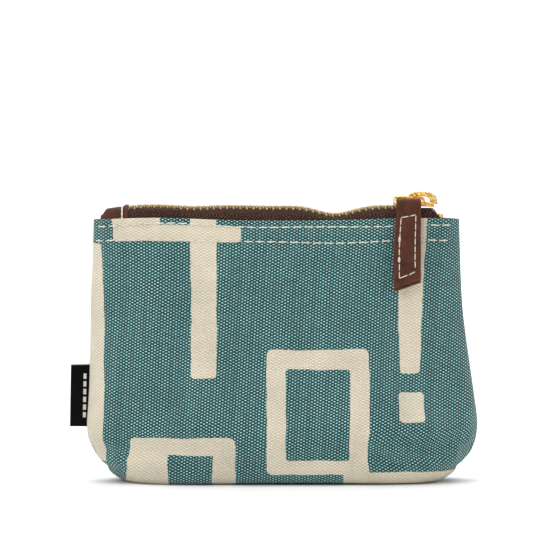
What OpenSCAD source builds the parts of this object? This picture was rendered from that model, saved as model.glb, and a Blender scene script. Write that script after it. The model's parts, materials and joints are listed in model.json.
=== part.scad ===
// Small zippered pouch: two canvas panels on a boxed base, a lining, and a metal zipper along the top.
// +X runs along the zipper towards its closed end, -Y is the front and +Z is up. The origin is the
// middle of the base's underside. Every length is in millimetres.

/* [Pouch] */
// Height of the canvas panels, from the underside to the folded top edge
panel_h = 101; // [96:1:112]
// Width across the top edge, from side seam to side seam
mouth_w = 138.4; // [137:0.2:146]
// Greatest width, across the belly
belly_w = 148.8; // [148:0.2:160]
// Height of the greatest width
belly_z = 22; // [18:1:28]
// How far each end of the base tucks in under the belly
corner_in = 18; // [12:1:22]
// Depth of the base, front to back
base_d = 44; // [40:1:52]
// Depth over the two top edges
mouth_d = 13.2; // [13.2:0.2:14]
// How far the top edge leans to the left of the belly
lean = 2.2; // [0:0.1:3]
// Height of the tray that the base panel forms, up to the boxed corner seams
tray_h = 6.5; // [5:0.5:8]

/* [Cloth] */
// Thickness of the outer canvas
canvas_t = 0.9; // [0.7:0.05:1]
// Thickness of the lining
lining_t = 0.5; // [0.3:0.05:0.6]
// Thickness of the zipper tape
tape_t = 0.6; // [0.4:0.05:0.7]
// Thickness of a topstitch above the cloth
thread_t = 0.35; // [0.2:0.05:0.5]
// Length of one visible topstitch
stitch_l = 3.4; // [2.5:0.1:3.8]
// Distance from one topstitch to the next
stitch_pitch = 4.4; // [4:0.1:5]

/* [Zipper] */
// Height of the middle of the chain
chain_z = 105; // [105:0.1:105.4]
// Distance between two teeth on one tape
tooth_pitch = 2.54; // [2.4:0.02:2.8]
// Length of a tooth along the chain
tooth_l = 1.3; // [1:0.05:1.4]
// Height of a tooth
tooth_h = 2.2; // [2:0.05:2.2]
// Left end of the part of the mouth that opens
open_x0 = -40.2; // [-40.4:0.1:-38]
// Right end of the part of the mouth that opens
open_x1 = 43.4; // [40:0.1:43.6]
// Middle of the slider when the pouch is closed
slider_x = 54.4; // [54:0.1:55.4]
// Length of the slider
slider_l = 12.4; // [11.6:0.1:12.6]
// Width of the slider's top plate
slider_w = 8.8; // [8.6:0.1:9]

/* [Pull] */
// Diameter of the ring's wire
wire_d = 1.3; // [1.1:0.05:1.35]
// Width of the ring over its wire
ring_w = 12.4; // [12.2:0.1:12.6]
// Width of the leather strap
strap_w = 9.5; // [9:0.1:9.6]
// Length of the strap below the ring's bar
strap_l = 34; // [28:0.5:36]
// Thickness of one layer of the strap
strap_t = 1.1; // [0.9:0.05:1.2]
// Angle at which the strap stands off the vertical, in degrees
strap_lean = 12.5; // [10:0.5:14]

/* [Details] */
// How far the woven label stands out of the side seam
label_out = 7.4; // [5:0.1:10]
// Height of the woven label
label_h = 24.4; // [18:0.2:30]
// Height of the label's lower edge
label_z = 20.9; // [15:0.1:28]
// Length of the leather tab over the zipper's left end
tab_l = 10.4; // [8:0.1:10.6]

/* [Hidden] */

teal = "#537f7f";
cream = "#e6ddca";
tape_brown = "#4b362f";
leather_brown = "#6f4533";
brass = "#c9a45c";
gold = "#d9ac4a";
black = "#141414";

cut_gap = 0.4;              // between the swinging middle of the cloth and its fixed ends
seam_gap = 0.45;            // from the plane of the side seams to each cloth end
edge_in = 5;                // rounding of the base's long edges
edge_z = 9;                 // height of that rounding
tape_inset = canvas_t + 0.3;
lining_inset = tape_inset + tape_t + 0.1;
lining_top = panel_h - 3;
tape_foot = panel_h - 10;   // lower edge of the tape, inside the hem
tape_edge = 1.6;            // from the plane of the zipper to the tape's inner edge
tape_left = 60.5;           // the tapes stop this far from the middle at the left,
tape_right = 64;            // and this far at the right
tape_corner = 0.55;         // rounding where the tape turns down into the hem
stitch_rows = [panel_h - 4, panel_h - 10.1];
stitch_left = 66;           // the rows of stitches stop this far from the middle at the left,
stitch_right = 63;          // and this far at the right
stitch_w = 0.5;
stitch_gap = 0.04;          // between a stitch and the cloth under it
seam_t = 0.7;               // the seam allowance: its thickness,
seam_edge = 1;              // where it starts inside the cloth's surface,
seam_w = 7;                 // where it ends,
seam_drop = 12;             // and how far below the mouth it stops
row_gap = 0.35;             // from the plane of the zipper to each row of teeth
tooth_reach = 2.9;          // outer end of a tooth, where it grips the tape
nose_l = 1.25;              // length of a tooth beyond the tape's edge
first_tooth = 5.2;          // the row starts this far right of the leather tab's edge,
last_tooth = 4;             // and ends this far right of the slider's middle
bottom_stop_x = 2.9;        // middle of the box, right of the tab's edge
bottom_stop_l = 2.6;
top_stop_x = 1.3;           // middle of each clip, beyond the slider's end
top_stop_l = 1.8;
plate_t = 0.7;              // the slider's plates
plate_gap = 0.1;            // between a plate and the teeth
rail_y0 = 3.25;             // inner face of the slider's rails
under_w = 7.9;              // width of the slider's lower plate
slot_h = 0.4;               // half the height of the slot that the tape leaves through
web_t = 0.4;                // the slider's post, between the two rows of teeth: its thickness,
web_x = 2.5;                // where it starts, right of the slider's middle,
web_l = 3;                  // and its length
plate_top = chain_z + tooth_h / 2 + plate_gap + plate_t;
crown_h = 4.4;
crown_t = 3.2;              // width of the crown, front to back
crown_half = 5.75;          // half the length of the crown, and of the hole through it
crown_hole_half = 3.4;
crown_hole_h = 3;
ring_tilt = 10.5;           // the ring's front bar hangs this far below the level, in degrees
ring_x = 49.45;
ring_lift = 1.65;           // from the top plate to the ring's axis
ring_axis_z = plate_top + ring_lift;
ring_back = 3.05;           // from the ring's axis to its back strand
ring_front = 7.5;           // from the ring's axis to its front bar
back_bend = 1.6;            // radius of the ring's corners at the back and at the front
front_bend = 0.9;
strap_gap = 0.08;           // round the ring's bar, inside the strap's fold
strap_stitch_in = 2;        // from the strap's edge to its rows of stitches
end_slant = 20;             // slant of the strap's cut end, in degrees
tab_x = -58.3;              // right edge of the leather tab
tab_t = 0.8;
tab_over = 0.9;             // the tab's top clears the teeth by this much at its right edge,
tab_low = 2.2;              // and stands this far above the mouth at its left one
tab_stitch_x = 2.9;         // from the tab's right edge to the thread across it
tab_stitch_h = 4.4;
tab_stitch_w = 0.6;
steps_z = 14;
steps_x = 12;
steps_end = 8;
steps_seam = 12;

// ---- the pouch's outer surface ----

function clamp(t) = min(1, max(0, t));
function smooth(t) = clamp(t) * clamp(t) * (3 - 2 * clamp(t));
function mix(a, b, t) = a + (b - a) * t;

// Quarter-round inset: 0 at the top of a rounding of height h, deep at its foot
function round_in(z, h, deep) = z >= h ? 0 : deep * (1 - sqrt(1 - pow((h - z) / h, 2)));

// Half width, half depth and middle of the section at height z
function half_w(z) =
    mouth_w / 2
    + (belly_w - mouth_w) / 2 * pow(1 - clamp((z - belly_z) / (panel_h - belly_z)), 1.3)
    - round_in(z, belly_z, corner_in);
function half_d(z) =
    mix(base_d, mouth_d, pow(clamp((z - edge_z) / (panel_h - edge_z)), 1.4)) / 2
    - round_in(z, edge_z, edge_in);
function mid_x(z) = 0.8 - lean * smooth((z - belly_z) / (panel_h / 2));

// Section |x/w|^width_power + |y/d|^(1/depth_power) = 1: boxy at the base, a lens at mid-height,
// and two nearly parallel sheets at the mouth
function width_power(z) = lookup(z / panel_h, [[0, 6], [0.22, 4.5], [0.6, 3], [0.84, 6], [1, 40]]);
function depth_power(z) = lookup(z / panel_h, [[0, 0.5], [0.22, 0.5], [0.6, 0.7], [0.84, 0.9], [1, 1]]);

// Depth of the front surface at (x, z), moved inwards by inset
function front_y(x, z, inset) =
    -(half_d(z) - inset)
    * pow(1 - pow(abs(x - mid_x(z)) / (half_w(z) - inset), width_power(z)), depth_power(z));

// Point at angle a round the section: 0 is the middle of the front and 90 the right side seam
function section_pt(a, z, inset) = [
    mid_x(z) + sign(sin(a)) * (half_w(z) - inset) * pow(abs(sin(a)), 2 / width_power(z)),
    -sign(cos(a)) * (half_d(z) - inset) * pow(abs(cos(a)), 2 * depth_power(z)),
    z
];

// Angle at which the section crosses x, and the one at which it stops short of the side seam
function cut_angle(x, z, inset) =
    asin(pow(abs(x - mid_x(z)) / (half_w(z) - inset), width_power(z) / 2));
function seam_angle(z, inset) = acos(pow(seam_gap / (half_d(z) - inset), 0.5 / depth_power(z)));

// ---- closed solids from grids of points ----

function grid_faces(nr, nc, first, flip) = [
    for (r = [0:nr - 2], c = [0:nc - 2])
        let (a = first + r * nc + c, b = a + nc, q = [a, b, b + 1, a + 1])
        each flip ? [[q[2], q[1], q[0]], [q[3], q[2], q[0]]] : [[q[0], q[1], q[2]], [q[0], q[2], q[3]]]
];

// Sheet between two grids of points of one size. Rows rise and columns run towards +X, seen from the front.
module sheet(outer, inner) {
    nr = len(outer);
    nc = len(outer[0]);
    n = nr * nc;
    rim = concat(
        [for (r = [0:nr - 1]) r * nc],
        [for (c = [1:nc - 1]) (nr - 1) * nc + c],
        [for (r = [nr - 2:-1:0]) r * nc + nc - 1],
        [for (c = [nc - 2:-1:1]) c]
    );
    rim_faces = [
        for (i = [0:len(rim) - 1])
            let (a = rim[i], b = rim[(i + 1) % len(rim)])
            each [[a, a + n, b + n], [a, b + n, b]]
    ];
    polyhedron(
        [for (grid = [outer, inner]) for (row = grid) each row],
        concat(grid_faces(nr, nc, 0, false), grid_faces(nr, nc, n, true), rim_faces)
    );
}

// Solid through a list of closed rings, with a flat cap on the first and the last
module skin(rings) {
    n = len(rings[0]);
    last = (len(rings) - 1) * n;
    walls = [
        for (r = [0:len(rings) - 2], k = [0:n - 1])
            let (a = r * n + k, b = r * n + (k + 1) % n)
            each [[a, b, b + n], [a, b + n, a + n]]
    ];
    polyhedron(
        [for (ring = rings) each ring],
        concat([[for (k = [n - 1:-1:0]) k]], walls, [[for (k = [0:n - 1]) last + k]])
    );
}

// ---- cloth ----

function rise(z0, z1, n) = [for (i = [0:n]) mix(z0, z1, i / n)];

// The middle of the front wall, which swings
function middle_grid(z0, z1, inset) = [
    for (z = rise(z0, z1, steps_z)) [
        for (x = rise(open_x0, open_x1, steps_x)) [x, front_y(x, z, inset), z]
    ]
];

// One fixed end of the front wall, from the cut to the side seam: right is 1 or -1
function end_grid(right, z0, z1, inset) = [
    for (z = rise(z0, z1, steps_z))
        let (
            cut = right > 0 ? open_x1 + cut_gap : open_x0 - cut_gap,
            near = cut_angle(cut, z, inset),
            far = seam_angle(z, inset),
            angles = right > 0 ? rise(near, far, steps_end) : rise(-far, -near, steps_end)
        )
        [for (a = angles) section_pt(a, z, inset)]
];

module middle_wall(z0, z1, inset, t) {
    sheet(middle_grid(z0, z1, inset), middle_grid(z0, z1, inset + t));
}

module wall_ends(z0, z1, inset, t) {
    for (right = [-1, 1])
        sheet(end_grid(right, z0, z1, inset), end_grid(right, z0, z1, inset + t));
}

function ring_at(z, inset) = [for (k = [0:59]) section_pt(180 - k * 6, z, inset)];

// Shallow tray: outer rings up, then inner rings down to its floor
module tray(foot, inset, t) {
    top = tray_h - 0.2;
    levels = [0, 0.08, 0.25, 0.55, 1];
    skin(concat(
        [for (f = levels) ring_at(mix(foot, top, f), inset)],
        [for (i = [4:-1:0]) ring_at(mix(foot + t, top, levels[i]), inset + t)]
    ));
}

module front_panel() {
    color(teal) middle_wall(tray_h + 0.2, panel_h, 0, canvas_t);
}

module front_lining() {
    color(cream) middle_wall(tray_h + 0.2, lining_top, lining_inset, lining_t);
}

module front_panel_ends() {
    color(teal) wall_ends(tray_h + 0.2, panel_h, 0, canvas_t);
}

module lining_ends() {
    color(cream)
        for (side = [0, 1])
            mirror([0, side, 0]) wall_ends(tray_h + 0.2, lining_top, lining_inset, lining_t);
}

module base_panel() {
    color(teal) tray(0, 0, canvas_t);
}

module base_lining() {
    color(cream) tray(canvas_t + 0.1, lining_inset, lining_t);
}

// The turned-in allowance of each side seam, as a strip in the plane of the seam
module side_seams() {
    function seam_x(right, z, inset) = mid_x(z) + right * (half_w(z) - inset);
    levels = rise(tray_h + 0.3, panel_h - seam_drop, steps_seam);
    color(cream)
        for (right = [-1, 1])
            translate([0, seam_t / 2, 0])
                rotate([90, 0, 0])
                    linear_extrude(seam_t)
                        polygon(concat(
                            [for (z = levels) [seam_x(right, z, seam_edge), z]],
                            [for (i = [steps_seam:-1:0]) [seam_x(right, levels[i], seam_w), levels[i]]]
                        ));
}

// ---- zipper tape ----

// Outer or inner line of the front tape at x, from the chain's edge down into the hem
function tape_line(x, inner) =
    let (
        fall = inner ? tape_t : 0,
        top = chain_z + tape_t / 2 - fall,
        wall = -front_y(x, panel_h, tape_inset + fall)
    )
    [
        [x, -tape_edge, top],
        [x, tape_corner - wall, top],
        [x, -wall, top - tape_corner],
        for (z = [panel_h, mix(panel_h, tape_foot, 0.5), tape_foot])
            [x, front_y(x, z, tape_inset + fall), z]
    ];

// Rows rise, so the line is listed from the hem up
function tape_grid(x0, x1, n, inner) =
    let (columns = [for (x = rise(x0, x1, n)) tape_line(x, inner)])
    [for (i = [5:-1:0]) [for (column = columns) column[i]]];

module tape_piece(x0, x1, n) {
    sheet(tape_grid(x0, x1, n, false), tape_grid(x0, x1, n, true));
}

module front_zipper_tape() {
    color(tape_brown) tape_piece(open_x0, open_x1, 8);
}

module zipper_tape_ends() {
    color(tape_brown)
        for (side = [0, 1])
            mirror([0, side, 0]) {
                tape_piece(-tape_left, open_x0 - cut_gap, 8);
                tape_piece(open_x1 + cut_gap, tape_right, 8);
            }
}

// ---- chain ----

// One tooth of the front row, centred on x: a nose towards the other row and two legs that grip the tape
module tooth(x) {
    translate([x - tooth_l / 2, -tooth_reach, chain_z - tooth_h / 2])
        difference() {
            cube([tooth_l, tooth_reach - row_gap, tooth_h]);
            translate([-1, -1, tooth_h / 2 - tape_t / 2 - 0.05])
                cube([tooth_l + 2, tooth_reach - row_gap - nose_l + 1, tape_t + 0.1]);
        }
}

// Teeth of one row between x0 and x1. The back row stands half a pitch along.
module tooth_row(x0, x1, back) {
    phase = back ? tooth_pitch / 2 : 0;
    first = ceil((x0 + tooth_l / 2 - phase) / tooth_pitch);
    last = floor((x1 - tooth_l / 2 - phase) / tooth_pitch);
    mirror([0, back ? 1 : 0, 0])
        for (i = [first:last]) tooth(i * tooth_pitch + phase);
}

module front_teeth() {
    color(brass) tooth_row(open_x0, open_x1, false);
}

module back_teeth() {
    color(brass) tooth_row(open_x0, open_x1, true);
}

module teeth_at_ends() {
    color(brass)
        for (back = [false, true]) {
            tooth_row(tab_x + first_tooth, open_x0 - cut_gap, back);
            tooth_row(open_x1 + cut_gap, slider_x + last_tooth, back);
        }
}

module stop_block(x, l, y0, y1) {
    difference() {
        translate([x - l / 2, y0, chain_z - tooth_h / 2]) cube([l, y1 - y0, tooth_h]);
        for (side = [-1, 1])
            translate([x - l, side > 0 ? tape_edge - 0.1 : -tooth_reach - 1, chain_z - tape_t / 2 - 0.05])
                cube([2 * l, tooth_reach - tape_edge + 1.1, tape_t + 0.1]);
    }
}

// The box that both rows end in, at the left
module bottom_stop() {
    color(brass) stop_block(tab_x + bottom_stop_x, bottom_stop_l, -tooth_reach, tooth_reach);
}

// One clip on each tape, at the right, against which the slider closes
module top_stops() {
    color(brass)
        for (side = [0, 1])
            mirror([0, side, 0])
                stop_block(slider_x + slider_l / 2 + top_stop_x, top_stop_l, -tooth_reach, -row_gap);
}

// ---- stitching ----

// One stitch on the front surface at (x, z)
module stitch(x, z) {
    y0 = front_y(x - stitch_l / 2, z, 0);
    y1 = front_y(x + stitch_l / 2, z, 0);
    lean_in = atan2(front_y(x, z + 1, 0) - front_y(x, z - 1, 0), 2);
    translate([x, (y0 + y1) / 2, z])
        rotate([-lean_in, 0, atan2(y1 - y0, stitch_l)])
            translate([-stitch_l / 2, -thread_t - stitch_gap, -stitch_w / 2])
                cube([stitch_l, thread_t, stitch_w]);
}

module stitch_line(x0, x1, z) {
    n = floor((x1 - x0 - stitch_l) / stitch_pitch);
    for (i = [0:n]) stitch(x0 + stitch_l / 2 + 0.2 + i * stitch_pitch, z);
}

module front_topstitching() {
    color(cream)
        for (z = stitch_rows) stitch_line(open_x0, open_x1, z);
}

module topstitching_ends() {
    color(cream)
        for (side = [0, 1], z = stitch_rows)
            mirror([0, side, 0]) {
                stitch_line(-stitch_left, open_x0 - cut_gap, z);
                stitch_line(open_x1 + cut_gap, stitch_right, z);
            }
}

// ---- leather tab over the zipper's left end ----

module tab_body(shrink) {
    reach = [tab_x + shrink, tab_x - tab_l - shrink];
    half = [mouth_d / 2, mouth_d / 2 - 1];
    top = [chain_z + tooth_h / 2 + tab_over, panel_h + tab_low];
    hull()
        for (i = [0, 1])
            translate([reach[i], -half[i] + abs(shrink), panel_h])
                cube([0.01, 2 * (half[i] - abs(shrink)), top[i] - panel_h - abs(shrink)]);
}

module end_tab() {
    color(leather_brown)
        difference() {
            tab_body(0);
            translate([0, 0, -0.01]) tab_body(tab_t);
        }
}

// Thread across the tab, down both of its sides
module end_tab_stitch() {
    t = 0.3;                    // thickness of the row
    place = mouth_d / 2 - 0.05; // from the middle of the mouth to each row
    above_edge = 0.8;           // the row starts this far above the wall's edge
    color(cream)
        for (side = [-1, 1])
            translate([tab_x - tab_stitch_x, side * place - t / 2, panel_h + above_edge])
                cube([tab_stitch_w, t, tab_stitch_h]);
}

// ---- woven label, folded and caught in the left side seam ----

module side_label() {
    middle_z = label_z + label_h / 2;
    seam_x = mid_x(middle_z) - half_w(middle_z);
    t = 0.7;                    // both layers of the folded label
    color(black)
        translate([seam_x - label_out, -t / 2, label_z]) cube([label_out, t, label_h]);
}

// ---- slider ----

module rounded_plate(l, w, r, t) {
    linear_extrude(t) {
        square([l - 2 * r, w], center = true);
        square([l, w - 2 * r], center = true);
        for (x = [-1, 1], y = [-1, 1])
            translate([x * (l / 2 - r), y * (w / 2 - r)]) circle(r, $fn = 32);
    }
}

// Both plates with their rails, joined by a thin post that runs between the two rows of teeth
module slider_body() {
    inside = tooth_h / 2 + plate_gap;
    rail_l = slider_l - 3;
    color(gold)
        translate([slider_x, 0, chain_z]) {
            translate([0, 0, inside]) rounded_plate(slider_l, slider_w, 2, plate_t);
            translate([0, 0, -inside - plate_t]) rounded_plate(slider_l, under_w, 2, plate_t);
            for (side = [-1, 1]) {
                translate([-rail_l / 2, side > 0 ? rail_y0 : -slider_w / 2, slot_h])
                    cube([rail_l, slider_w / 2 - rail_y0, inside - slot_h + 0.1]);
                translate([-rail_l / 2, side > 0 ? rail_y0 : -under_w / 2, -inside - 0.1])
                    cube([rail_l, under_w / 2 - rail_y0, inside - slot_h + 0.1]);
            }
            translate([web_x, -web_t / 2, -inside - 0.1]) cube([web_l, web_t, 2 * inside + 0.2]);
        }
}

function arch(reach, h, power) =
    [for (a = [0:9:180]) [reach * cos(a), h * pow(max(0, sin(a)), power)]];

// Bridge over the top plate, which the ring is threaded through
module slider_crown() {
    color(gold)
        translate([slider_x, crown_t / 2, plate_top])
            rotate([90, 0, 0])
                linear_extrude(crown_t)
                    difference() {
                        polygon(arch(crown_half, crown_h, 0.6));
                        translate([0, -0.01]) polygon(arch(crown_hole_half, crown_hole_h, 0.45));
                    }
}

// ---- pull ----

module wire_bend(r, angle) {
    rotate_extrude(angle = angle, $fn = 64) translate([r, 0]) circle(wire_d / 2, $fn = 24);
}

module wire_bar(from, to) {
    along = to - from;
    translate([from[0], from[1], 0])
        rotate([0, 0, atan2(along[1], along[0])])
            rotate([0, 90, 0]) cylinder(norm(along), wire_d / 2, wire_d / 2, $fn = 24);
}

// Oblong ring in its own plane. Its straight right side runs through the crown,
// so that it turns there freely.
module flat_ring() {
    half = (ring_w - wire_d) / 2;
    for (side = [-1, 1])
        wire_bar([side * half, ring_back - back_bend], [side * half, front_bend - ring_front]);
    wire_bar([back_bend - half, ring_back], [half - back_bend, ring_back]);
    wire_bar([front_bend - half, -ring_front], [half - front_bend, -ring_front]);
    translate([half - back_bend, ring_back - back_bend]) wire_bend(back_bend, 90);
    translate([back_bend - half, ring_back - back_bend]) rotate(90) wire_bend(back_bend, 90);
    translate([half - front_bend, front_bend - ring_front]) rotate(-90) wire_bend(front_bend, 90);
    translate([front_bend - half, front_bend - ring_front]) rotate(180) wire_bend(front_bend, 90);
}

module pull_ring() {
    color(gold)
        translate([ring_x, 0, ring_axis_z]) rotate([ring_tilt, 0, 0]) flat_ring();
}

// Middle of the ring's front bar, where the strap turns
bar_y = -ring_front * cos(ring_tilt);
bar_z = ring_axis_z - ring_front * sin(ring_tilt);

// Puts its children at the bar, with -Z running down the strap
module at_bar() {
    translate([ring_x, bar_y, bar_z]) rotate([-strap_lean, 0, 0]) children();
}

// The folded strip: a sleeve round the bar, then two layers pressed together
module pull_strap() {
    in_r = wire_d / 2 + strap_gap;
    out_r = in_r + strap_t;
    neck = 0.82 * out_r;
    color(leather_brown)
        at_bar()
            difference() {
                translate([-strap_w / 2, 0, 0])
                    rotate([90, 0, 90]) {
                        cylinder(strap_w, out_r, out_r, $fn = 64);
                        linear_extrude(strap_w)
                            polygon([
                                [-neck, -out_r / 2], [neck, -out_r / 2], [strap_t, -2.5 * out_r],
                                [strap_t, -strap_l], [-strap_t, -strap_l], [-strap_t, -2.5 * out_r]
                            ]);
                    }
                rotate([90, 0, 90]) cylinder(2 * strap_w, in_r, in_r, center = true, $fn = 64);
                // the lower end is cut on the slant, longest at the left
                translate([-strap_w / 2, 0, -strap_l])
                    rotate([0, -end_slant, 0])
                        translate([-strap_w, -strap_w / 2, -strap_w]) cube([3 * strap_w, strap_w, strap_w]);
            }
}

// Rectangle of stitches through both layers, seen on each face
module pull_strap_stitching() {
    half = strap_w / 2 - strap_stitch_in;
    top = -5.5;                 // the rectangle's upper side, below the bar
    foot = 3.8;                 // the rectangle ends this far above the strap's end
    long = 2;
    pitch = 3.1;
    w = 0.4;
    t = 0.26;                   // thickness of a stitch
    out = strap_t + 0.17;       // from the middle of the strap to the middle of a stitch
    rows = floor((top + strap_l - foot) / pitch);
    color(cream)
        at_bar()
            for (face = [-1, 1])
                translate([0, face * out, 0]) {
                    for (side = [-1, 1], i = [0:rows - 1])
                        translate([side * half - w / 2, -t / 2, top - long - i * pitch]) cube([w, t, long]);
                    for (z = [top, top - rows * pitch - w])
                        translate([2 * w - half, -t / 2, z]) cube([2 * half - 4 * w, t, w]);
                }
}

// ---- the back is the front's mirror image ----

module back_panel() {
    mirror([0, 1, 0]) front_panel();
}

module back_lining() {
    mirror([0, 1, 0]) front_lining();
}

module back_zipper_tape() {
    mirror([0, 1, 0]) front_zipper_tape();
}

module back_topstitching() {
    mirror([0, 1, 0]) front_topstitching();
}

module back_panel_ends() {
    mirror([0, 1, 0]) front_panel_ends();
}

front_panel();
front_lining();
front_zipper_tape();
front_teeth();
front_topstitching();
back_panel();
back_lining();
back_zipper_tape();
back_teeth();
back_topstitching();
front_panel_ends();
back_panel_ends();
base_panel();
base_lining();
lining_ends();
side_seams();
zipper_tape_ends();
teeth_at_ends();
topstitching_ends();
bottom_stop();
top_stops();
end_tab();
end_tab_stitch();
side_label();
slider_body();
slider_crown();
pull_ring();
pull_strap();
pull_strap_stitching();
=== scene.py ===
"""Small zippered pouch: printed canvas on a boxed base, metal zipper, leather pull and leather end tab."""
import json
import math

import bmesh
import bpy
import numpy as np
from mathutils import Matrix, Vector


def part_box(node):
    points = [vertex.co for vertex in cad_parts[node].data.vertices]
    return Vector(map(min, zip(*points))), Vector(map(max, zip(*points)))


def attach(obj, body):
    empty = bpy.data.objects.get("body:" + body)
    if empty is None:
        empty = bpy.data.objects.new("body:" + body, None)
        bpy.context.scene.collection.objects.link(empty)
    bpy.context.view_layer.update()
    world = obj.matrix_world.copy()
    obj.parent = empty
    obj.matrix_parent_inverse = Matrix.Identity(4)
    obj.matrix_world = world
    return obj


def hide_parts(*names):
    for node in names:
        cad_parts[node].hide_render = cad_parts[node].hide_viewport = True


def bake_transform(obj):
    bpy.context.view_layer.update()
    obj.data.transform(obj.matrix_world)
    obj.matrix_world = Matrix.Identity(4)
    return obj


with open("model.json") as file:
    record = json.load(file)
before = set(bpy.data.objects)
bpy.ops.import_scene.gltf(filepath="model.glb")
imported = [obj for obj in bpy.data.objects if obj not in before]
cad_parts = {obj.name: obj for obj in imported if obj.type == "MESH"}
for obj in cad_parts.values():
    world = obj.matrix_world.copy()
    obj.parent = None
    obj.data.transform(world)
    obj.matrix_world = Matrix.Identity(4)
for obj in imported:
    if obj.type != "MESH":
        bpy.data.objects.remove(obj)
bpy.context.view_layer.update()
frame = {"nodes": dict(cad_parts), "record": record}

MM = 0.001
FRONT = -1
BACK = 1
SIDES = ((FRONT, "front"), (BACK, "back"))

# ---------------------------------------------------------------- sizes, from the frame

ends_low, ends_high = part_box("front_panel_ends")
PANEL_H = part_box("front_panel")[1].z
BELLY_HALF = (ends_high.x - ends_low.x) / 2
BASE_HALF_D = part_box("base_panel")[1].y
teeth_low, teeth_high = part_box("front_teeth")
TOOTH_H = teeth_high.z - teeth_low.z
CHAIN_Z = (teeth_low.z + teeth_high.z) / 2
TOOTH_REACH = -teeth_low.y
slider_low, slider_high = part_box("slider_body")
SLIDER_X = (slider_low.x + slider_high.x) / 2
SLIDER_L = slider_high.x - slider_low.x
SLIDER_W = slider_high.y - slider_low.y
crown_low, crown_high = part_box("slider_crown")
strap_low, strap_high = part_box("pull_strap")
tab_low, tab_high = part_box("end_tab")
label_low, label_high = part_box("side_label")
joints = {joint["name"]: joint for joint in frame["record"]["behaviour"]["joints"]}
HINGE_Z = joints["front_opening"]["pos_m"][2]
ZIP_TRAVEL = joints["zip"]["range_m"][1]

# ---------------------------------------------------------------- sizes chosen here

# the shell: its half width and depth at the mouth, the heights where its sides and its base edge start to
# round in, how far they do, and how far the mouth leans left
MOUTH_HALF = BELLY_HALF - 3.6 * MM
MOUTH_HALF_D = 6.4 * MM
BELLY_Z = 25 * MM
CORNER_IN = 17 * MM
EDGE_Z = 9 * MM
EDGE_IN = 5 * MM
LEAN = 2.2 * MM
BOX_SEAM_Z = 6.6 * MM
FORM_DEPTH = 1.5

# cloth, stitches and zipper; the topstitching rows are measured down from the top edge
CLOTH_T = 0.9 * MM
HEM_DEPTH = 12 * MM
TAPE_T = 0.6 * MM
TAPE_LEFT = -60 * MM
TAPE_RIGHT = 62.6 * MM
TOOTH_PITCH = 2.54 * MM
STITCH_PITCH = 4.4 * MM
STITCH_L = 3.95 * MM
STITCH_ROWS = (2.7 * MM, 8.5 * MM)
SLIDER_TIP = math.radians(3)
SLIDER_LIFT = 0.4 * MM

# strengths of the lamps, in watts, and of the sky
KEY = 6
FILL = 1.5
LOW = 1.4
TOP = 22
BACKDROP = 30
WORLD = 0.45

# the cloth simulation: its grid, how much too large the cloth is, and the most it may move
SHELL_COLUMNS = 65
SHELL_ROWS = 45
SHELL_LOW = HINGE_Z
SHELL_HIGH = PANEL_H
SHELL_SCALE = 10
SHELL_FRAMES = 24
SHELL_SLACK = 0.018
SHELL_LIMIT = 2.5 * MM
SHELL_FINE = 4
settled_field = None


# ---------------------------------------------------------------- the pouch's surface

def smooth(t):
    """Smooth step from 0 at t = 0 to 1 at t = 1."""
    t = np.clip(t, 0, 1)
    return t * t * (3 - 2 * t)


def bump(value, centre, width):
    """Soft hump of height 1."""
    return np.exp(-((value - centre) / width) ** 2)


def round_in(z, height, deep):
    """Inset of a quarter-round of that height: deep at z = 0, none at the top."""
    t = np.clip((height - z) / height, 0, 1)
    return deep * (1 - np.sqrt(1 - t * t))


def half_width(z):
    rise = 1 - np.clip((z - BELLY_Z) / (PANEL_H - BELLY_Z), 0, 1)
    return MOUTH_HALF + (BELLY_HALF - MOUTH_HALF) * rise ** 1.3 - round_in(z, BELLY_Z, CORNER_IN)


def half_depth(z):
    rise = np.clip((z - EDGE_Z) / (PANEL_H - EDGE_Z), 0, 1)
    return BASE_HALF_D + (MOUTH_HALF_D - BASE_HALF_D) * rise ** 1.4 - round_in(z, EDGE_Z, EDGE_IN)


def middle_x(z):
    return 0.8 * MM - LEAN * smooth((z - BELLY_Z) / (PANEL_H / 2))


def width_power(z):
    return np.interp(z / PANEL_H, [0, 0.22, 0.6, 0.84, 1], [6, 4.5, 3, 5, 14])


def depth_power(z):
    return np.interp(z / PANEL_H, [0, 0.22, 0.6, 0.84, 1], [0.5, 0.5, 0.7, 0.9, 1])


def edge_wave(x):
    """How far the folded top edge rises above, or sags below, its nominal height."""
    return (
        -0.5 * MM
        + 1.1 * MM * bump(x, -48 * MM, 22 * MM)
        + 1.0 * MM * bump(x, 52 * MM, 22 * MM)
    )


def chain_wave(x):
    """How far the chain leaves its nominal height: one dip right of the middle and small ripples."""
    return (
        0.4 * MM
        - 3.1 * MM * bump(x, 21 * MM, 9.5 * MM)
        + 0.2 * MM * bump(x, -48 * MM, 8 * MM)
        - 0.4 * MM * bump(x, -33 * MM, 8 * MM)
        - 0.3 * MM * bump(x, -4 * MM, 10 * MM)
        - 3.2 * MM * smooth((x - 58.5 * MM) / (3 * MM))
        - 0.6 * MM * smooth((-53 * MM - x) / (8 * MM))
    )


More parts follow.
